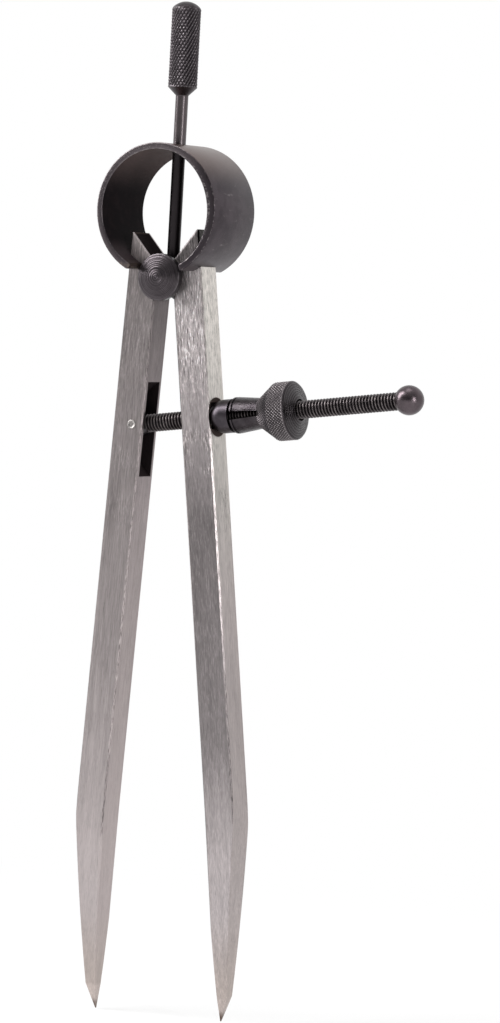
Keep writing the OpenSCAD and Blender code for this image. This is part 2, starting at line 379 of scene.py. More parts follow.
studioSet = {
    "front": 0.14, "back": 1.0, "backSpan": (-0.15, 0.45), "top": 0.55, "topSpan": (0.25, 0.9),
    "floorDrop": 0.1986, "floorReach": 6.0, "floorSides": 96, "floorTone": (0.82, 0.82, 0.82),
    "shadowShare": 0.30, "shadowSpan": (0.03, 0.20), "white": (1.0, 1.0, 1.0), "aim": (0.01, 0.0, -0.09),
    "lamps": [
        {"name": "leftLamp", "at": (-0.82, -0.40, 0.36), "wide": 0.42, "tall": 0.90, "power": 9.6},
        {"name": "upperLamp", "at": (-0.42, -0.46, 0.60), "wide": 0.24, "tall": 0.24, "power": 2.3},
        {"name": "rightLamp", "at": (0.83, -0.37, 0.07), "wide": 0.16, "tall": 0.42, "power": 2.3},
        {"name": "topLamp", "at": (-0.05, -0.10, 0.85), "wide": 0.50, "tall": 0.50, "power": 1.5},
    ],
}


def rayKinds(wire):
    return [wire.add("ShaderNodeLightPath", {}, {}, kind) for kind in
            ("Is Camera Ray", "Is Glossy Ray", "Is Transmission Ray")]


def makeWorld(given):
    world = bpy.data.worlds.new("studio")
    bpy.context.scene.world = world
    world.use_nodes = True
    world.node_tree.nodes.clear()
    wire = Wire(world.node_tree)
    direction = wire.add("ShaderNodeTexCoord", {}, {}, "Generated")
    behind = direction.part("Y").span(*given["backSpan"])
    level = given["front"] + behind * (given["back"] - given["front"])
    above = direction.part("Z").span(*given["topSpan"])
    level = level + above * (given["top"] - given["front"]) * (1 - behind)
    cameraRay, glossyRay, clearRay = rayKinds(wire)
    seen = cameraRay.most(clearRay).most(glossyRay * behind)
    room = wire.add("ShaderNodeBackground", {}, {"Color": level, "Strength": 1.0})
    white = wire.add("ShaderNodeBackground", {}, {"Color": tone(given["white"]), "Strength": 1.0})
    mixed = wire.add("ShaderNodeMixShader", {}, {0: seen, 1: room, 2: white})
    wire.add("ShaderNodeOutputWorld", {}, {"Surface": mixed})


def makeFloor(given):
    bm = bmesh.new()
    bmesh.ops.create_circle(bm, cap_ends=True, segments=given["floorSides"], radius=given["floorReach"])
    floor = finishMesh("floor", bm)
    floor.location = (0.0, 0.0, -given["floorDrop"])
    material, wire = newLook("paleFloor")
    reach = wire.add("ShaderNodeTexCoord", {}, {}, "Object").lengthOf()
    near = 1 - reach.span(*given["shadowSpan"])
    cameraRay, glossyRay, clearRay = rayKinds(wire)
    seen = cameraRay.most(glossyRay).most(clearRay) * (1 - near * given["shadowShare"])
    shade = wire.add("ShaderNodeBsdfDiffuse", {}, {"Color": tone(given["floorTone"])})
    glow = wire.add("ShaderNodeEmission", {}, {"Color": tone(given["white"]), "Strength": 1.0})
    mixed = wire.add("ShaderNodeMixShader", {}, {0: seen, 1: shade, 2: glow})
    wire.add("ShaderNodeOutputMaterial", {}, {"Surface": mixed})
    wear(floor, material)


def makeLamps(given):
    for lamp in given["lamps"]:
        data = bpy.data.lights.new(lamp["name"], "AREA")
        data.shape = "ELLIPSE"
        data.size = lamp["wide"]
        data.size_y = lamp["tall"]
        data.energy = lamp["power"]
        made = bpy.data.objects.new(lamp["name"], data)
        made.location = lamp["at"]
        aim = Vector(given["aim"]) - Vector(lamp["at"])
        made.rotation_euler = aim.to_track_quat("-Z", "Y").to_euler()
        bpy.context.scene.collection.objects.link(made)


bpy.context.scene.view_settings.view_transform = "Standard"
makeWorld(studioSet)
makeFloor(studioSet)
makeLamps(studioSet)
print("studio set")


# Black finishes: clouded oxide with a fine grain

oxideSet = {"cloudNoise": (3.0, 0.6), "cloudSpan": (0.35, 0.68), "grainNoise": (2.0, 0.6)}


def blackLook(name, given, origin=(0.0, 0.0, 0.0), turn=0.0):
    material, wire = newLook(name)
    point = placed(wire, origin, turn)
    cloud = point.noise(given["cloudScale"], *oxideSet["cloudNoise"])
    grain = point.noise(given["grainScale"], *oxideSet["grainNoise"])
    colour = cloud.span(*oxideSet["cloudSpan"]).between(given["dark"], given["light"])
    rough = given["rough"] + (grain - 0.5) * given["roughSpread"]
    height = grain * given["grainHeight"]
    return material, wire, point, colour, rough, height


# Concentric tool marks: an even feed and some chance in it

ringSet = {"chanceScale": 1.6, "chance": (1.0, 0.5), "chanceTurn": 5.0,
           "wave": 0.35, "fine": 0.10, "fineCount": 4.3}


def ringMarks(wire, radius, feed, given=ringSet):
    line = wire.add("ShaderNodeCombineXYZ", {}, {0: radius})
    chance = line.noise(given["chanceScale"] / feed, *given["chance"])
    wave = wire.maths("SINE", radius * (2 * math.pi / feed) + chance * given["chanceTurn"])
    fine = wire.maths("SINE", radius * (2 * math.pi * given["fineCount"] / feed))
    return 0.5 + wave * given["wave"] + fine * given["fine"]


# Handle: crossed knurl on the grip, domed end, cone and plain stem in one turned piece

handleSet = {
    "stemR": 1.3, "stemFoot": -1.2, "coneFoot": 37.04, "gripFoot": 38.7, "gripTop": 54.6, "gripR": 3.0,
    "lip": 0.1, "ease": 0.12, "domeTop": 56.1, "domeR": 3.75, "domeSteps": 12, "shoulder": 0.55,
    "shoulderSteps": 8, "around": 288, "row": 0.08, "crisp": 34,
    "knurlCount": 26, "knurlLean": 0.80, "knurlDepth": 0.25, "knurlSecond": 0.64, "knurlFade": 0.35,
    "knurlOver": 0.25, "knurlSkin": 2.55,
    "dark": (0.060, 0.052, 0.056), "light": (0.090, 0.079, 0.085), "cloudScale": 0.35, "grainScale": 14.0,
    "rough": 0.36, "roughSpread": 0.25, "grainHeight": 0.35, "metal": 1.0, "bump": 0.02, "soft": 0.3,
    "valley": (0.034, 0.029, 0.032), "valleyDepth": (0.10, 0.20),
    "peak": (0.36, 0.33, 0.345), "peakDepth": (0.02, 0.08),
    "rub": (0.9, 3.0, 0.6, 0.35, 0.7), "rubLeast": 0.3,
    "domeTone": (0.030, 0.025, 0.027), "mottle": (1.3, 4.0, 0.7, 0.42, 0.60), "domeSoft": 0.2,
    "flecks": (2.6, 2.0, 0.5, 0.56, 0.66), "fleckFade": 0.5, "overlayShare": 0.8,
    "stemTone": (0.104, 0.090, 0.093), "stemRough": -0.07,
    "bowShadeTop": 26.3, "bowShadeSoft": 1.2, "bowShade": (0.020, 0.017, 0.019), "bowShadeShare": 0.75, "inBowRough": 0.12,
}


def handleLook(given):
    shoulderFoot = given["gripTop"] - given["shoulder"]
    soft, overlay = given["soft"], given["overlayShare"]
    material, wire, point, colour, rough, height = blackLook("blackHandle", given)
    z = point.part("Z")
    depth = given["gripR"] - fromAxis(point)
    onShoulder = z.span(shoulderFoot, given["gripTop"])
    knurled = z.span(given["gripFoot"], given["gripFoot"] + soft) * (1 - onShoulder)
    # knurl valleys painted darker: painted shade in the grooves
    colour = (knurled * depth.span(*given["valleyDepth"])).between(colour, given["valley"])
    rub = given["rubLeast"] + point.blotches(*given["rub"]) * (1 - given["rubLeast"])
    colour = (knurled * (1 - depth.span(*given["peakDepth"])) * rub).between(colour, given["peak"])
    domePart = z.span(shoulderFoot + soft, given["gripTop"] + given["domeSoft"])
    colour = (domePart * point.blotches(*given["mottle"]) * overlay).between(colour, given["domeTone"])
    # bright flecks on the shoulder: painted glints of its little facets
    shoulderPart = onShoulder * (1 - z.span(given["gripTop"], given["gripTop"] + given["fleckFade"]))
    colour = (shoulderPart * point.blotches(*given["flecks"]) * overlay).between(colour, given["peak"])
    stemPart = 1 - z.span(given["coneFoot"] - soft, given["coneFoot"] + soft)
    colour = (stemPart * overlay).between(colour, given["stemTone"])
    # the stem inside the bow painted darker and made rougher: painted shade of the bow above it
    inBow = 1 - z.span(given["bowShadeTop"] - given["bowShadeSoft"], given["bowShadeTop"])
    colour = (inBow * given["bowShadeShare"]).between(colour, given["bowShade"])
    rough = rough + stemPart * given["stemRough"] + inBow * given["inBowRough"]
    closeLook(wire, given, colour, rough, height)
    return material


def makeHandle(given):
    stemR, gripR, lip = given["stemR"], given["gripR"], given["lip"]
    stem = [(0.0, given["stemFoot"]), (stemR, given["stemFoot"]), (stemR, given["coneFoot"]),
            (gripR - lip, given["gripFoot"] - lip)]
    shoulderFoot = given["gripTop"] - given["shoulder"]
    grip = closeRows([(gripR, given["gripFoot"]), (gripR, shoulderFoot)], given["row"])
    domeCentre = given["domeTop"] - given["domeR"]
    edge = math.asin(gripR / given["domeR"])
    dome = []
    for step in range(given["domeSteps"] + 1):
        angle = edge * (1 - step / given["domeSteps"])
        dome.append((given["domeR"] * math.sin(angle), domeCentre + given["domeR"] * math.cos(angle)))
    dome[-1] = (0.0, given["domeTop"])
    shoulder = eased([grip[-1], dome[0], dome[2]], given["shoulder"], given["shoulderSteps"])[1:-1]
    profile = eased(stem, given["ease"]) + grip + shoulder + dome[2:]
    knurl = knurlCuts(given, given["gripFoot"], given["gripTop"] + given["knurlOver"], given["knurlSkin"])
    handle = finishMesh("knurledHandle", turned(profile, given["around"], relief=knurl), given["crisp"])
    handle.matrix_world = Matrix.Translation(fulcrum)
    wear(handle, handleLook(given))
    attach(handle, "handle")
    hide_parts("handle")


makeHandle(handleSet)
print("handle made")


# Fulcrum stud: a spool with two crowned heads, turned rings on both

studSet = {
    "rollerR": 3.2, "rollerHalf": 3.45, "neckR": 3.9, "headBack": 4.5, "headR": 4.8, "headFront": 5.72,
    "rimR": 4.66, "face": 5.85, "crown": 1.1, "faceRows": 96, "around": 144, "ease": 0.08, "crisp": 34,
    "mark": 0.026, "markFade": 0.1, "feed": 0.44, "wander": [(1.5, 1.9), (0.7, 5.3)],
    "boreR": 1.32, "boreFoot": -1.25, "boreTop": 6.0,
    "dark": (0.048, 0.041, 0.045), "light": (0.070, 0.060, 0.066), "cloudScale": 0.3, "grainScale": 6.0,
    "rough": 0.31, "roughSpread": 0.12, "grainHeight": 0.12, "metal": 1.0, "bump": 0.03,
    "side": (0.020, 0.017, 0.019), "bright": (0.17, 0.150, 0.160), "ringFeed": 0.264,
    "ringSpan": (0.45, 0.95), "ringShare": 0.45, "ringHeight": 0.3,
    "rim": (0.20, 0.18, 0.19), "rimWidth": 0.10, "rimShare": 0.7, "rimWear": (0.9, 3.0, 0.6, 0.35, 0.6),
}


def studProfile(given):
    rimR, rollerR = given["rimR"], given["rollerR"]
    head = []
    for step in range(given["faceRows"] + 1):
        radius = rimR * (1 - step / given["faceRows"])
        rise = given["crown"] * (1 - (radius / rimR) ** 2)
        wander = sum(size * math.sin(radius * pace) for size, pace in given["wander"])
        mark = given["mark"] * math.sin(2 * math.pi * radius / given["feed"] + wander)
        mark = mark * min(1.0, (rimR - radius) / given["markFade"], radius / given["markFade"])
        head.append((radius, given["face"] + rise + mark))
    side = [(rollerR, 0.0), (rollerR, given["rollerHalf"]), (given["neckR"], given["rollerHalf"]),
            (given["headR"], given["headBack"]), (given["headR"], given["headFront"])]
    upper = eased(side, given["ease"])[1:] + head
    return [(radius, -height) for radius, height in reversed(upper)] + upper


def studLook(given):
    material, wire, point, colour, rough, height = blackLook("blackStud", given)
    radius = fromAxis(point)
    face = point.part("Z").size().span(given["headFront"], given["face"])
    rings = ringMarks(wire, radius, given["ringFeed"])
    rim = radius.span(given["rimR"] - given["rimWidth"], given["rimR"]) * point.blotches(*given["rimWear"])
    # lighter turned rings on the face: a painted sheen along the rings
    colour = (rings.span(*given["ringSpan"]) * given["ringShare"]).between(colour, given["bright"])
    colour = (rim * given["rimShare"]).between(colour, given["rim"])
    # the heads' sides, neck and roller painted darker than the faces: painted shade
    colour = face.between(given["side"], colour)
    height = height + rings * face * given["ringHeight"]
    closeLook(wire, given, colour, rough, height)
    return material


def makeStud(given):
    stud = finishMesh("fulcrumStud", turned(studProfile(given), given["around"]), given["crisp"])
    stud.matrix_world = alongDepth(fulcrum)
    bore = borer("stemBore", given["boreR"], given["boreFoot"], given["boreTop"])
    bore.matrix_world = Matrix.Translation(fulcrum)
    cutBy(stud, bore, given["crisp"])
    wear(stud, studLook(given))
    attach(stud, "handle")
    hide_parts("fulcrum_stud")


makeStud(studSet)
print("stud made")


# Bow: a strip bent to a ring, in two halves, each reaching from the handle to a leg

bowSet = {
    "centre": 13.5, "outer": 13.65, "thick": 1.35, "width": 17.2, "corner": 0.22, "cornerSteps": 4,
    "leftEnd": 155.0, "rightEnd": 153.0, "leftSwell": -0.15, "rightSwell": 0.55, "steps": 150, "crisp": 40,
    "endRound": 0.6, "endTurn": 80, "endSteps": 5, "endCorner": 0.2, "holeR": 1.55, "holeSpan": (8.0, 16.0),
    "bendFrom": 25.5, "bendTo": 18.0,
    "dark": (0.038, 0.029, 0.035), "light": (0.060, 0.047, 0.055), "cloudScale": 0.22, "grainScale": 9.0,
    "rough": 0.34, "roughSpread": 0.15, "grainHeight": 0.30, "metal": 1.0, "bump": 0.03,
    "paintedTopLight": (0.140, 0.095, 0.084), "topSpan": (5.0, 13.0), "topLightShare": 0.9,
    "worn": (0.34, 0.31, 0.31), "scuffStretch": (1, 0.35, 1), "scuffs": (0.9, 4.0, 0.7, 0.60, 0.80),
    "scuffShare": 0.35, "flecks": (1.6, 4.0, 0.72),
    "rim": (0.100, 0.085, 0.092), "rimInset": (0.16, 0.04), "rimRight": (0.056, 0.047, 0.053),
    "rightSpan": (-6.0, 8.0), "rimTop": (0.135, 0.115, 0.122), "rimTopSpan": (7.0, 13.0),
    "lineReach": (0.08, 0.30), "wornSpan": (0.46, 0.66), "wornSide": (-4.0, 16.0), "wornLift": 0.08,
    "wornShare": 0.6, "spots": (2.7, 3.0, 0.7, 0.56, 0.70), "spotSide": (3.0, 17.0), "spotShare": 0.7,
    "endTone": (0.105, 0.080, 0.066), "endSpan": (-11.6, -10.4), "endSide": (-3.0, 0.0), "endDull": 0.85,
    "fleckSpan": (0.36, 0.60),
    "inside": {
        "dark": (0.007, 0.005, 0.006), "light": (0.013, 0.009, 0.010), "lightSpan": (0.4, 0.7),
        "cloud": (0.35, 4.0, 0.65), "rough": 0.6, "roughSpread": 0.2, "gloss": 0.02, "metal": 0.0,
        "bump": 0.04, "top": (0.078, 0.056, 0.054), "topSpan": (3.0, 12.0),
        "foot": (0.048, 0.036, 0.039), "footSpan": (-9.2, -5.8), "footLeast": 0.7, "footCloud": 0.6,
        "rust": (0.075, 0.034, 0.018), "rustSpan": (-11.5, -6.0), "rustDepth": (1.0, 8.0),
        "rustCloud": (0.30, 0.62), "rustShare": 0.8, "lip": (0.050, 0.036, 0.029), "lipSpan": (-11.5, -9.6),
    },
}


def bowMiddle(given):
    return fulcrum + Vector((0.0, 0.0, given["centre"] * mm))


# The strip's section as (radius, across), with rounded corners
def bowSection(given, swell, inset):
    inner, outer = given["outer"] - given["thick"] - swell + inset, given["outer"] - inset
    half = given["width"] / 2 - inset
    corner = given["corner"] - inset * given["endCorner"]
    middles = [(outer - corner, half - corner), (inner + corner, half - corner),
               (inner + corner, corner - half), (outer - corner, corner - half)]
    section = []
    for quarter, (radius, across) in enumerate(middles):
        for step in range(given["cornerSteps"] + 1):
            angle = math.radians(90 * quarter + 90 * step / given["cornerSteps"])
            section.append((radius + corner * math.cos(angle), across + corner * math.sin(angle)))
    return section


def bowHalf(name, given, hand, endAngle, swell):
    bm = bmesh.new()
    rows = []
    roundSpan = math.degrees(given["endRound"] / given["outer"])
    places = [((endAngle - roundSpan) * step / given["steps"], 0.0) for step in range(given["steps"])]
    for step in range(given["endSteps"] + 1):  # the strip's end is rounded off
        turn = math.radians(given["endTurn"] * step / given["endSteps"])
        places.append((endAngle - roundSpan * (1 - math.sin(turn)), given["endRound"] * (1 - math.cos(turn))))
    for place, inset in places:
        angle = math.radians(place)
        section = bowSection(given, swell * math.sin(math.pi * place / endAngle) ** 2, inset)
        rows.append([bm.verts.new((hand * radius * math.sin(angle) * mm, across * mm,
                                   radius * math.cos(angle) * mm)) for radius, across in section])
    skinRows(bm, rows, len(section) // 2 - 1)  # that wall is the strip's inside
    half = finishMesh(name, bm, given["crisp"])
    half.matrix_world = Matrix.Translation(bowMiddle(given))
    return half


def bowOutsideLook(given):
    material, wire, point, colour, rough, height = blackLook("blackBow", given, bowMiddle(given))
    x, y, z = (point.part(axis) for axis in "XYZ")
    flecks = point.noise(*given["flecks"])
    scuffs = point.stretch(given["scuffStretch"]).blotches(*given["scuffs"])
    # the top of the bow painted lighter and warmer: painted light from above
    colour = (z.span(*given["topSpan"]) * given["topLightShare"]).between(colour, given["paintedTopLight"])
    colour = (scuffs * given["scuffShare"]).between(colour, given["worn"])
    rim = y.size().span(*(given["width"] / 2 - inset for inset in given["rimInset"]))
    ringR = point.stretch((1, 0, 1)).lengthOf()
    inner, outer = given["outer"] - given["thick"], given["outer"]
    near, far = given["lineReach"]
    lines = (1 - ringR.span(inner + near, inner + far)).most(ringR.span(outer - far, outer - near))
    upperLeft = z - x
    worn = lines * (flecks + upperLeft.span(*given["wornSide"]) * given["wornLift"]).span(*given["wornSpan"])
    # the rim painted darker towards the right and lighter at the top: painted shade and light
    bare = x.span(*given["rightSpan"]).between(given["rim"], given["rimRight"])
    bare = z.span(*given["rimTopSpan"]).between(bare, given["rimTop"])
    colour = rim.between(colour, bare)
    spots = point.blotches(*given["spots"]) * upperLeft.span(*given["spotSide"])
    rubbed = rim * (worn * given["wornShare"]).most(spots * given["spotShare"])
    colour = rubbed.between(colour, given["worn"])
    ends = (1 - z.span(*given["endSpan"])) * (1 - x.span(*given["endSide"]))
    ends = ends * flecks.span(*given["fleckSpan"])
    colour = ends.between(colour, given["endTone"])
    closeLook(wire, given, colour, rough, height, Metallic=given["metal"] - ends * given["endDull"])
    return material


# The strip's inside: a darker copy of the black finish with almost no reflection, painted shade; painted
# lighter towards the top as painted light, with rust and flecks near the ends
def bowInsideLook(bow):
    given = bow["inside"]
    material, wire = newLook("shadedBowInside")
    point = placed(wire, bowMiddle(bow))
    y, z = point.part("Y"), point.part("Z")
    cloud = point.noise(*given["cloud"])
    colour = cloud.span(*given["lightSpan"]).between(given["dark"], given["light"])
    colour = z.span(*given["topSpan"]).between(colour, given["top"])
    foot = (1 - z.span(*given["footSpan"])) * (given["footLeast"] + cloud * given["footCloud"])
    colour = foot.between(colour, given["foot"])
    rust = (1 - z.span(*given["rustSpan"])) * y.span(*given["rustDepth"]) * cloud.span(*given["rustCloud"])
    colour = (rust * given["rustShare"]).between(colour, given["rust"])
    lip = (1 - z.span(*given["lipSpan"])) * point.noise(*bow["flecks"]).span(*bow["fleckSpan"])
    colour = lip.between(colour, given["lip"])
    rough = given["rough"] + (cloud - 0.5) * given["roughSpread"]
    closeLook(wire, given, colour, rough, cloud, **{"Specular IOR Level": given["gloss"]})
    return material


def makeBow(given):
    looks = (bowOutsideLook(given), bowInsideLook(given))
    for name, hand, side, leg in (("bowLeftHalf", -1, "left", "left_leg"),
                                  ("bowRightHalf", 1, "right", "right_leg")):
        endAngle = given[side + "End"]
        half = bowHalf(name, given, hand, endAngle, given[side + "Swell"])
        wear(half, *looks)
        hole = borer("stemHole", given["holeR"], *given["holeSpan"])
        hole.matrix_world = half.matrix_world.copy()
        cutBy(half, hole, given["crisp"])
        endR = given["outer"] - given["thick"] / 2
        turn = math.radians(endAngle - given["bendTo"])
        tip = half.matrix_world @ Vector((hand * endR * math.sin(turn) * mm, 0, endR * math.cos(turn) * mm))
        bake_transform(half)
        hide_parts("bow_spring")


makeBow(bowSet)
print("bow made")


# Legs: ground bar with fine streaks and bright dashes along it, painted light and shade along each face, and
# black oxide left in every cut, darkened further as painted shade.
# Levels of grey along a leg are pairs of (share of its length, level); they paint the light and shade that
# each face and corner shows along the leg.

legSet = {
    "left_leg": {
        "turn": 2.93, "hand": -1, "seed": 3.1, "dashes": 0.16, "headShade": -1.45, "pointLift": 0.18,
        "grain": (6.5, 6.5, 0.20), "lowGrain": 0.55, "bevelAt": 0.22, "bevelLine": 0.95,
        "frontTint": (1.0, 0.895, 0.89), "sideTop": (1.0, 0.865, 0.875), "sideLow": (1.0, 0.87, 0.86),
        "front": [(0.06, 0.25), (0.33, 0.31), (0.6, 0.405), (0.78, 0.53), (1.0, 0.47)],
        "side": [(0.06, 0.155), (0.20, 0.25), (0.33, 0.33), (0.6, 0.39), (0.78, 0.452), (1.0, 0.435)],
        "edge": [(0.04, 0.12), (0.12, 0.16), (0.16, 0.25), (0.30, 0.27), (0.40, 0.34), (0.645, 0.40),
                 (0.665, 0.27), (0.74, 0.30), (0.77, 0.46), (1.0, 0.44)],
    },
    "right_leg": {
        "turn": -7.45, "hand": 1, "seed": 11.7, "dashes": 1.0, "headShade": 0.72, "pointLift": 0.02,
        "grain": (6.5, 6.5, 0.42), "lowGrain": 0.85, "bevelAt": 0.87, "bevelLine": 0.95,
        "frontTint": (1.0, 0.905, 0.91), "sideTop": (1.0, 0.945, 0.89), "sideLow": (1.0, 0.885, 0.87),
        "front": [(0.06, 0.54), (0.16, 0.42), (0.33, 0.215), (0.62, 0.272), (0.78, 0.53), (1.0, 0.46)],
        "side": [(0.06, 0.67), (0.33, 0.43), (0.6, 0.365), (0.78, 0.405), (1.0, 0.45)],
        "edge": [(0.04, 0.16), (0.12, 0.20), (0.20, 0.32), (0.25, 0.58), (0.42, 0.50), (0.50, 0.34),
                 (0.56, 0.20), (0.685, 0.15), (0.73, 0.16), (0.76, 0.30), (1.0, 0.38)],
    },
    "length": 152.0, "rough": 0.40, "roughSpread": 0.25, "metal": 0.92, "bump": 0.03,
    "frontSpan": (0.45, 0.85),
    "fine": (3.0, 0.68), "broad": ((1.1, 1.1, 0.03), 2.0, 0.5), "patch": ((0.25, 0.25, 0.10), 3.0, 0.6),
    "grainShares": (1.20, 0.40, 0.28), "grainLevel": 0.96, "grainFade": (0.50, 0.72), "grainHeight": 0.6,
    "dash": ((5.8, 5.8, 0.66), 3.0, 0.62), "dashHeight": 0.4, "cluster": ((0.10, 0.10, 0.12), 1.0, 0.5),
    "clusterSpan": (0.46, 0.58), "clusterFade": (0.30, 0.38), "headFade": (0.10, 0.20),
    "brightSpan": (0.54, 0.66), "brightLeast": 0.15, "brightSide": 0.25, "brightLift": 0.58,
    "dullSpan": (0.32, 0.48), "dullLeast": 0.3, "dullDepth": 0.50,
    "cornerSpan": (0.25, 0.45), "edgeSpan": (0.36, 0.60), "edgeLeast": 0.45, "edgeGain": 0.75,
    "edgeEven": (0.74, 0.78), "headSpan": (1.5, 4.0),
    "bevelSpan": (0.16, 0.55), "bevelAlong": (-3.0, 0.0), "bevelDash": (0.40, 0.58),
    "bevelLeast": 0.35, "sideTintSpan": (0.2, 0.5),
    "tipTint": (1.0, 0.86, 0.79), "tipSpan": (0.84, 0.97), "tipShare": 0.8, "liftSpan": (0.964, 0.970),
    "pointTone": (0.13, 0.095, 0.08), "pointSpan": (0.984, 0.996), "pointPatch": (0.2, 0.5),
    "skin": 3.0, "innerFace": 1.95, "outerFace": 8.46, "faceSoft": 0.02, "cutsSpan": (-48.5, -48.0),
    "cutTone": (0.023, 0.018, 0.019), "cutGloss": 0.0,
    "seatTone": (0.065, 0.050, 0.046), "seatSpan": (7.85, 8.0),
}


def makeLeg(name, given, common):
    turn = math.radians(given["turn"])
    material, wire = newLook(name + "Steel")
    point = placed(wire, fulcrum, turn)
    shifted = wire.add("ShaderNodeVectorMath", {"operation": "ADD"}, {0: point, 1: (given["seed"],) * 3})
    across, depth, along = (point.part(axis) for axis in "XYZ")
    outward = across * given["hand"]
    share = along * (-1 / common["length"])
    normal = facing(wire, turn)
    normalX, normalY = normal.part("X"), normal.part("Y")
    front = normalY.size().span(*common["frontSpan"])

    def ramp(stops):
        greys = [(place, tone((level, level, level))) for place, level in stops]
        return wire.add("ShaderNodeValToRGB", {"stops": greys}, {0: share})

    def streaks(size, detail, rough):
        return shifted.stretch(size).noise(1.0, detail, rough)

    def past(edge):  # over one of the bar's faces
        return edge - common["faceSoft"], edge + common["faceSoft"]

    # Grey level: painted light and shade on the faces, then grain, dashes, edges worn and painted with
    # highlights, a painted highlight at the point, and the bevelled head with painted shade and a worn bevel
    # line
    level = wire.add("ShaderNodeMix", {}, {0: front, 2: ramp(given["side"]), 3: ramp(given["front"])})
    fine = streaks(given["grain"], *common["fine"])
    broad, patch, dashes, cluster = (streaks(*common[key]) for key in ("broad", "patch", "dash", "cluster"))
    clusters = cluster.span(*common["clusterSpan"]) * (1 - share.span(*common["clusterFade"]))
    upper = (1 - share.span(*common["headFade"])).most(clusters)
    bright = dashes.span(*common["brightSpan"]) * (common["brightLeast"] + upper) * given["dashes"]
    bright = bright * (common["brightSide"] + front * (1 - common["brightSide"]))
    dull = (1 - dashes.span(*common["dullSpan"])) * (common["dullLeast"] + upper * given["dashes"])
    fineShare, broadShare, patchShare = common["grainShares"]
    grain = fine * fineShare + broad * broadShare + patch * patchShare - sum(common["grainShares"]) / 2
    level = level * (common["grainLevel"] + grain * share.span(*common["grainFade"], 1.0, given["lowGrain"]))
    level = level * (1 - dull * common["dullDepth"]) + bright * common["brightLift"]
    # corners: worn edges, with painted highlight and shade along them
    corner = (normalX * normalY).size().span(*common["cornerSpan"])
    patchy = common["edgeLeast"] + dashes.span(*common["edgeSpan"]) * common["edgeGain"]
    edge = ramp(given["edge"]) * (patchy + (1 - patchy) * share.span(*common["edgeEven"]))
    level = level + (edge - level) * corner
    # a painted highlight on the point's facets
    level = level + share.span(*common["liftSpan"]) * given["pointLift"] * patch
    # the head is painted darker on the right leg as shade, lighter on the left leg as light
    level = level * (1 - along.span(*common["headSpan"]) * given["headShade"])
    belowBevel = outward - along + given["bevelAt"]
    bevelLine = (1 - belowBevel.span(*common["bevelSpan"])) * front * along.span(*common["bevelAlong"])
    bevelDash = common["bevelLeast"] + dashes.span(*common["bevelDash"]) * (1 - common["bevelLeast"])
    level = level + bevelLine * (given["bevelLine"] - level) * bevelDash

    # Colour: the level tinted, a dark point, and black in the cuts: oxide, made darker and without reflection
    # as painted shade
    tint = share.span(*common["sideTintSpan"]).between(given["sideTop"], given["sideLow"])
    tint = front.between(tint, given["frontTint"])
    tint = (share.span(*common["tipSpan"]) * common["tipShare"]).between(tint, common["tipTint"])
    grey = wire.add("ShaderNodeCombineXYZ", {}, {0: level, 1: level, 2: level})
    steel = tint.stretch(grey)
    dark = share.span(*common["pointSpan"]) * patch.span(*common["pointPatch"])
    steel = dark.between(steel, common["pointTone"])
    cut = (1 - depth.size().span(*past(common["skin"]))) * outward.span(*past(common["innerFace"]))
    cut = cut * (1 - outward.span(*past(common["outerFace"]))) * along.span(*common["cutsSpan"])
    black = outward.span(*common["seatSpan"]).between(common["cutTone"], common["seatTone"])
    colour = cut.between(steel, black)
    rough = common["rough"] + (fine - 0.5) * common["roughSpread"]
    height = fine * common["grainHeight"] + dashes * common["dashHeight"]
    closeLook(wire, common, colour, rough, height,
              **{"Metallic": common["metal"] * (1 - cut), "Specular IOR Level": common["cutGloss"]})
    wear(nodes[name], material)
    return material


# Close seats for the bow's ends: cheeks above and below the strip fill each leg's flared notch

seatSet = {
    "endAngle": {"left_leg": 25.0, "right_leg": 32.0}, "play": 0.25, "flare": 12.0, "mouth": 6.7,
    "fit": 0.04, "bury": 0.12, "outer": 8.50, "chamfer": 0.28, "half": 3.34, "steps": 10,
}


# One cheek's outline, as (outward, up) in millimetres from the fulcrum, ending at the leg's outer face
def cheekOutline(given, bow, end, tilt, outer, upper):
    side = 1 if upper else -1
    halfThick = bow["thick"] / 2
    middle = bow["outer"] - halfThick
    floorHalf = halfThick + given["play"]
    mouthHalf = floorHalf + given["mouth"] * math.tan(math.radians(given["flare"]))
    inward = Vector((-math.cos(end), -math.sin(end)))
    upward = Vector((-math.sin(end), math.cos(end)))
    stripEnd = Vector((middle * math.sin(end), bow["centre"] - middle * math.cos(end)))
    floorAt = stripEnd + inward * given["play"]
    wallFoot = floorAt + upward * side * (floorHalf + given["bury"])
    wallMouth = stripEnd - inward * given["mouth"] + upward * side * (mouthHalf + given["bury"])
    across = Vector((math.cos(tilt), math.sin(tilt)))
    share = (outer - wallFoot.dot(across)) / (wallMouth - wallFoot).dot(across)
    clear = halfThick + given["fit"]
    reach = middle - side * clear
    stop = tilt + math.asin((outer - bow["centre"] * math.sin(tilt)) / reach)
    outline = [floorAt + upward * side * clear, wallFoot, wallFoot.lerp(wallMouth, share)]
    for step in range(given["steps"], -1, -1):
        angle = end + (stop - end) * step / given["steps"]
        outline.append(Vector((reach * math.sin(angle), bow["centre"] - reach * math.cos(angle))))
    return outline


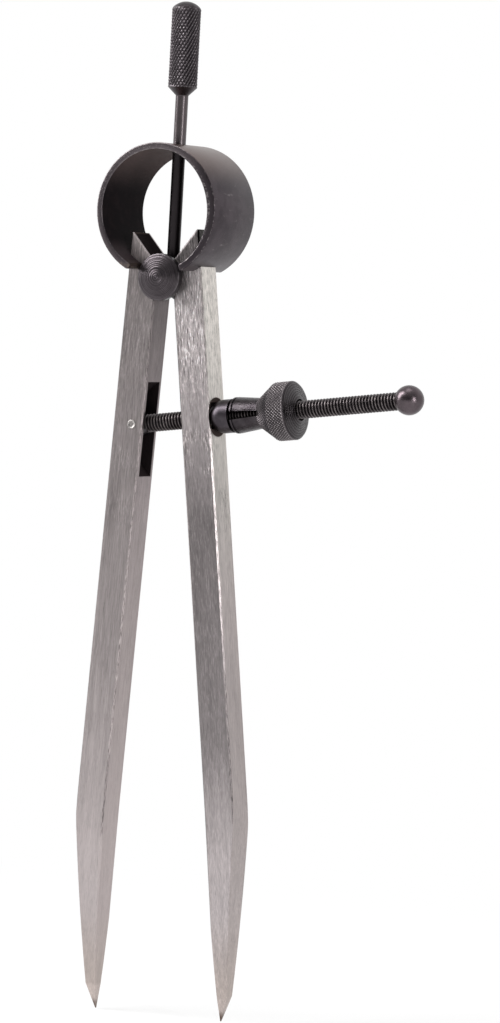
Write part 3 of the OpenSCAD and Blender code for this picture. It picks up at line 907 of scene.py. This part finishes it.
def makeSeat(name, leg, material, given, bow):
    bm = bmesh.new()
    end = math.radians(given["endAngle"][leg])
    hand = legSet[leg]["hand"]
    tilt = math.radians(abs(legSet[leg]["turn"]))
    inset = given["outer"] - given["chamfer"]
    layers = [(-given["half"], inset), (given["chamfer"] - given["half"], given["outer"]),
              (given["half"] - given["chamfer"], given["outer"]), (given["half"], inset)]
    for upper in (True, False):
        rows = []
        for depth, outer in layers:
            outline = cheekOutline(given, bow, end, tilt, outer, upper)
            rows.append([bm.verts.new((fulcrum.x + hand * point.x * mm, depth * mm, fulcrum.z + point.y * mm))
                         for point in outline])
        skinRows(bm, rows)
    seat = finishMesh(name, bm)
    wear(seat, material)
    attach(seat, leg)


for legName, seatName in (("left_leg", "leftBowSeat"), ("right_leg", "rightBowSeat")):
    legSteel = makeLeg(legName, legSet[legName], legSet)
    makeSeat(seatName, legName, legSteel, seatSet, bowSet)
print("legs finished")


# Pivot pin: riveted over, with a fine ring where it fills its hole.
# The crown's points are shares of the radius and of the dish's depth.

pinSet = {
    "radius": 0.97, "half": 3.52, "dish": 0.13, "around": 64, "crisp": 50,
    "crown": [(0.0, 0.75), (0.16, 0.8), (0.34, 1.1), (0.55, 1.0), (0.74, 0.2), (0.84, 0.0), (0.94, 0.3),
              (1.0, 1.4)],
    "dark": (0.20, 0.185, 0.18), "light": (0.40, 0.375, 0.365),
    "marks": (3.0, 4.0, 0.7), "markSpan": (0.3, 0.7),
    "bead": (0.50, 0.475, 0.46), "beadSpan": (0.60, 0.74), "beadShare": 0.8, "skirtSpan": (0.95, 0.985),
    "rough": 0.30, "roughSpread": 0.2, "metal": 1.0, "bump": 0.04,
}


def makePin(given):
    crown = [(given["radius"] * across, given["half"] - given["dish"] * drop)
             for across, drop in given["crown"]]
    profile = crown + [(across, -height) for across, height in reversed(crown)]
    pin = finishMesh("rivetedPin", turned(profile, given["around"]), given["crisp"])
    pin.matrix_world = alongDepth(pinAt)
    material, wire = newLook("brightPin")
    point = placed(wire)
    marks = point.noise(*given["marks"])
    across = fromAxis(point) * (1 / given["radius"])
    colour = marks.span(*given["markSpan"]).between(given["dark"], given["light"])
    colour = (across.span(*given["beadSpan"]) * given["beadShare"]).between(colour, given["bead"])
    colour = across.span(*given["skirtSpan"]).between(colour, given["dark"])
    rough = given["rough"] + marks * given["roughSpread"]
    closeLook(wire, given, colour, rough, marks)
    wear(pin, material)
    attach(pin, "left_leg")
    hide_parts("screw_pivot_pin")


makePin(pinSet)
print("pin made")


# Adjusting screw: a real right-hand thread from the eye into the ball

screwSet = {
    "crestR": 1.85, "rootR": 1.44, "pitch": 0.70, "crest": 0.10, "root": 0.14, "around": 40, "crisp": 25,
    "start": 1.4, "end": 60.2, "eyeR": 2.3, "eyeWidth": 4.3, "eyeHole": 1.0, "eyeAround": 56, "eyeEase": 0.22,
    "eyeCrisp": 40,
    "dark": (0.036, 0.031, 0.033), "light": (0.060, 0.052, 0.056), "cloudScale": 0.5, "grainScale": 11.0,
    "rough": 0.44, "roughSpread": 0.15, "grainHeight": 0.15, "metal": 1.0, "bump": 0.02,
    "crestTone": (0.27, 0.24, 0.237), "crestSpan": (-0.14, -0.02), "aboveSpan": (0.05, 0.15),
    "rubStretch": (0.6, 0.6, 0.5), "rub": (1.0, 3.0, 0.6, 0.35, 0.7), "rubLeast": 0.3, "rubGain": 0.6,
}


# The thread's rows wind upwards: past its last column a row goes on in the row one turn higher
def threadMesh(given):
    bm = bmesh.new()
    pitch, around = given["pitch"], given["around"]
    flank = (pitch - given["crest"] - given["root"]) / 2
    profile = [(0.0, given["rootR"]), (given["root"], given["rootR"]),
               (given["root"] + flank, given["crestR"]), (pitch - flank, given["crestR"])]
    perTurn = len(profile)
    turns = math.floor((given["end"] - given["start"]) / pitch)
    lastRow = turns * perTurn
    rows = []
    for row in range(lastRow + perTurn + 1):
        rise, radius = profile[row % perTurn]
        foot = given["start"] + pitch * (row // perTurn) + rise
        shares = [column / around for column in range(around if row <= lastRow else 1)]
        rows.append([bm.verts.new(ringPoint(radius, 2 * math.pi * share, foot + pitch * share))
                     for share in shares])

    def vertAt(row, column):
        return rows[row][column] if column < around else rows[row + perTurn][0]

    for row in range(lastRow):
        for column in range(around):
            bm.faces.new((vertAt(row, column), vertAt(row, column + 1),
                          vertAt(row + 1, column + 1), vertAt(row + 1, column)))
    for row, height in ((0, given["start"]), (lastRow, given["start"] + pitch * (turns + 1))):
        hub = bm.verts.new((0.0, 0.0, height * mm))
        rim = [vertAt(row, column) for column in range(around + 1)]
        rim += [rows[row + step][0] for step in range(perTurn - 1, 0, -1)]
        for one, other in zip(rim, rim[1:] + rim[:1]):
            bm.faces.new((one, other, hub))
    bmesh.ops.recalc_face_normals(bm, faces=bm.faces)
    return bm


def threadLook(given):
    material, wire, point, colour, rough, height = blackLook("blackThread", given)
    above = fromAxis(point) - given["crestR"]
    crest = above.span(*given["crestSpan"]) * (1 - above.span(*given["aboveSpan"]))
    rub = point.stretch(given["rubStretch"]).blotches(*given["rub"])
    # crests lighter: worn, with a painted highlight along them
    colour = (crest * (given["rubLeast"] + rub * given["rubGain"])).between(colour, given["crestTone"])
    closeLook(wire, given, colour, rough, height)
    return material


def makeScrew(given):
    material = threadLook(given)
    rod = finishMesh("threadedRod", threadMesh(given), given["crisp"])
    rod.matrix_world = alongScrew(pinAt)
    hole, outer, half = given["eyeHole"], given["eyeR"], given["eyeWidth"] / 2
    corners = [(hole, 0.0), (hole, half), (outer, half), (outer, -half), (hole, -half), (hole, 0.0)]
    profile = eased(corners, given["eyeEase"])[:-1]
    eye = finishMesh("screwEye", turned(profile, given["eyeAround"], ring=True), given["eyeCrisp"])
    eye.matrix_world = alongDepth(pinAt)
    for piece in (rod, eye):
        wear(piece, material)
        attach(piece, "screw")
        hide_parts("adjusting_screw")


makeScrew(screwSet)
print("screw made")


# End ball and cup: smooth satin black with faint turned rings; "at" is the place along the screw

ballSet = {
    "end_ball": {"at": 61.5, "dark": (0.090, 0.073, 0.080), "light": (0.120, 0.097, 0.106), "rough": 0.30,
                 "ringShare": 0.2},
    "cup_washer": {"at": 20.2259, "dark": (0.052, 0.045, 0.052), "light": (0.072, 0.063, 0.071),
                   "rough": 0.36, "ringShare": 0.05},
    "cloudScale": 0.5, "grainScale": 8.0, "roughSpread": 0.12, "grainHeight": 0.12, "metal": 1.0,
    "bump": 0.03, "feed": 0.9, "ringTone": (0.12, 0.105, 0.112), "ringSpan": (0.5, 0.8),
}


def makeBall(name, given):
    origin = pinAt + screwLine * given["at"] * mm
    turn = math.atan2(screwLine.x, screwLine.z)
    material, wire, point, colour, rough, height = blackLook(name + "Black", given, origin, turn)
    rings = ringMarks(wire, point.part("Z"), given["feed"])
    colour = (rings.span(*given["ringSpan"]) * given["ringShare"]).between(colour, given["ringTone"])
    height = height + rings * given["ringShare"]
    closeLook(wire, given, colour, rough, height)
    wear(nodes[name], material)


for ballName in ("end_ball", "cup_washer"):
    makeBall(ballName, {**ballSet, **ballSet[ballName]})
print("ball and cup finished")


# Split nut: sprung jaws, knurled shoulder and band, slightly raised end face

nutSet = {
    "threadR": 1.90, "threadFoot": 5.0, "noseFoot": 0.95, "noseFootR": 2.22, "jawTip": 2.55, "noseR": 3.34,
    "jawTipR": 3.70, "grooveFrom": 2.95, "grooveTo": 3.35, "grooveR": 3.40, "jawRoot": 8.3, "jawRootR": 3.12,
    "step": 0.02, "bandStart": 11.8, "bandR": 6.0, "chamfer": 0.35, "end": 16.0, "boss": 1.0,
    "bossCurve": 1.15, "reliefR": 2.2, "ease": 0.06, "easeSteps": 3, "around": 448, "row": 0.064, "crisp": 33,
    "faceRows": 56, "faceMark": 0.016, "faceFeed": 0.42, "wander": (1.2, 2.3), "markRows": 7,
    "splitTip": 2.1, "splitRoot": 1.0, "splitEnd": 9.1, "splitOver": 1.0,
    "knurlCount": 56, "knurlLean": 1.45, "knurlDepth": 0.22, "knurlSecond": 0.9, "knurlFrom": 8.3,
    "knurlFade": 0.35, "knurlOver": 0.12, "knurlSkin": 3.0,
    "dark": (0.040, 0.034, 0.038), "light": (0.064, 0.056, 0.061), "cloudScale": 0.4, "grainScale": 10.0,
    "rough": 0.40, "roughSpread": 0.22, "grainHeight": 0.45, "metal": 1.0, "bump": 0.05,
    "knurlTone": (0.100, 0.088, 0.093), "knurlShare": 0.8, "knurlSoft": 0.6, "knurlRough": 0.08,
    "footTone": (0.115, 0.103, 0.108), "footShare": 0.6, "footFrom": 1.0, "footTo": 0.6, "footFade": 1.0,
    "valley": (0.040, 0.035, 0.038), "valleyDepth": (0.14, 0.22), "peak": (0.46, 0.425, 0.43),
    "peakDepth": (0.03, 0.14), "rub": (0.8, 3.0, 0.6, 0.3, 0.7), "rubLeast": 0.35, "rubGain": 0.6,
    "brim": 0.2, "brimShare": 0.6,
    "faceTone": (0.030, 0.026, 0.028), "faceSpan": (-0.12, -0.03), "faceGloss": 0.12, "feed": 0.5,
    "ringTone": (0.12, 0.108, 0.114), "ringSpan": (0.35, 0.95), "ringShare": 0.5, "ringHeight": 0.9,
    "boreTone": (0.008, 0.007, 0.0075), "boreSpan": (0.02, 0.08),
    "pitStretch": (1, 1, 0.6), "pits": (2.0, 4.0, 0.7), "pitSpread": 0.5, "pitHeight": 1.2, "jawGloss": 0.08,
}


def nutProfile(given):
    threadR, jawTipR, grooveR = given["threadR"], given["jawTipR"], given["grooveR"]
    bandR, rimR, end = given["bandR"], given["bandR"] - given["chamfer"], given["end"]
    jaws = [(threadR, given["threadFoot"]), (threadR, given["noseFoot"]),
            (given["noseFootR"], given["noseFoot"]), (given["noseR"], given["jawTip"]),
            (jawTipR, given["jawTip"]), (jawTipR, given["grooveFrom"]),
            (grooveR, given["grooveFrom"]), (grooveR, given["grooveTo"]), (jawTipR, given["grooveTo"]),
            (given["jawRootR"], given["jawRoot"])]
    shoulder = [(given["jawRootR"] + given["step"], given["jawRoot"] + given["step"]),
                (rimR, given["bandStart"]), (bandR, given["bandStart"] + given["chamfer"]),
                (bandR, end - given["chamfer"])]
    face = [(rimR, end)]
    size, pace = given["wander"]
    for row in range(1, given["faceRows"] + 1):
        share = row / given["faceRows"]
        radius = rimR - share * (rimR - given["reliefR"])
        turn = 2 * math.pi * radius / given["faceFeed"] + size * math.sin(radius * pace)
        mark = given["faceMark"] * math.sin(turn) * min(1.0, row / given["markRows"])
        face.append((radius, end + given["boss"] * share ** given["bossCurve"] + mark))
    bore = [(given["reliefR"], given["jawRoot"]), (threadR, given["jawRoot"])]
    return eased(jaws, given["ease"], given["easeSteps"]) + closeRows(shoulder, given["row"]) + face + bore


# The wedge that parts the jaws
def splitTool(given):
    wedge = bmesh.new()
    low, high = given["noseFoot"] - given["splitOver"], given["splitEnd"]
    tip, root = given["splitTip"] / 2, given["splitRoot"] / 2
    reach = given["bandR"] + given["splitOver"]
    corners = [(-tip, low), (tip, low), (root, high), (-root, high)]
    sides = [[wedge.verts.new((x * mm, y * mm, z * mm)) for x, z in corners] for y in (-reach, reach)]
    skinRows(wedge, sides)
    return finishMesh("splitTool", wedge)


def nutLook(given):
    bandR, bandEnd = given["bandR"], given["end"] - given["chamfer"]
    material, wire, point, colour, rough, height = blackLook("blackNut", given)
    z = point.part("Z")
    radius = fromAxis(point)
    endFace = (z - given["end"]).span(*given["faceSpan"])
    endFace = endFace * (1 - radius.span(bandR - given["chamfer"], bandR - given["brim"]))
    knurled = z.span(given["knurlFrom"], given["knurlFrom"] + given["knurlSoft"]) * (1 - endFace)
    slope = (bandR - given["jawRootR"]) / (given["bandStart"] - given["jawRoot"])
    outer = ((z - given["jawRoot"]) * slope + given["jawRootR"]).least(bandR)
    depth = outer - radius

    # the knurled zone painted lighter: painted sheen of its facets
    colour = (knurled * given["knurlShare"]).between(colour, given["knurlTone"])
    # the knurl's foot on the cone painted lighter: painted light
    foot = 1 - z.span(given["knurlFrom"] + given["footFrom"], given["bandStart"] - given["footTo"])
    foot = knurled * foot * given["footShare"]
    # valleys painted darker: painted shade in the grooves
    valley = knurled * depth.span(*given["valleyDepth"]) * (1 - foot)
    colour = valley.between(colour, given["valley"])
    colour = foot.between(colour, given["footTone"])
    # peaks painted bright in rubbed patches: painted highlights on the knurl
    rub = given["rubLeast"] + point.blotches(*given["rub"]) * given["rubGain"]
    peak = knurled * (1 - depth.span(*given["peakDepth"])) * rub
    peak = peak * (1 - z.span(bandEnd - given["brim"], bandEnd) * given["brimShare"])
    peak = peak * z.span(given["knurlFrom"], given["knurlFrom"] + given["footFade"])
    colour = peak.between(colour, given["peak"])

    # lighter turned rings on the end face: a painted sheen
    rings = ringMarks(wire, radius, given["feed"])
    face = (rings.span(*given["ringSpan"]) * given["ringShare"]).between(given["faceTone"], given["ringTone"])
    colour = endFace.between(colour, face)
    # the bore painted near black: painted shade inside the nut
    bore = 1 - (radius - given["reliefR"]).span(*given["boreSpan"])
    colour = bore.between(colour, given["boreTone"])
    pits = point.stretch(given["pitStretch"]).noise(*given["pits"])
    jaws = (1 - knurled) * (1 - endFace)
    rough = rough + jaws * ((pits - 0.5) * given["pitSpread"] - given["jawGloss"])
    rough = rough + knurled * given["knurlRough"] - endFace * given["faceGloss"]
    height = height + rings * endFace * given["ringHeight"] + pits * jaws * given["pitHeight"]
    closeLook(wire, given, colour, rough, height)
    return material


def makeNut(given):
    knurlEnd = given["end"] - given["chamfer"] + given["knurlOver"]
    knurl = knurlCuts(given, given["knurlFrom"], knurlEnd, given["knurlSkin"])
    body = turned(nutProfile(given), given["around"], ring=True, relief=knurl)
    nut = finishMesh("splitNut", body, given["crisp"])
    nut.matrix_world = alongScrew(cupAt)
    tool = splitTool(given)
    tool.matrix_world = nut.matrix_world.copy()
    cutBy(nut, tool, given["crisp"])
    wear(nut, nutLook(given))
    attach(nut, "nut")
    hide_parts("split_nut")


makeNut(nutSet)
print("nut made")
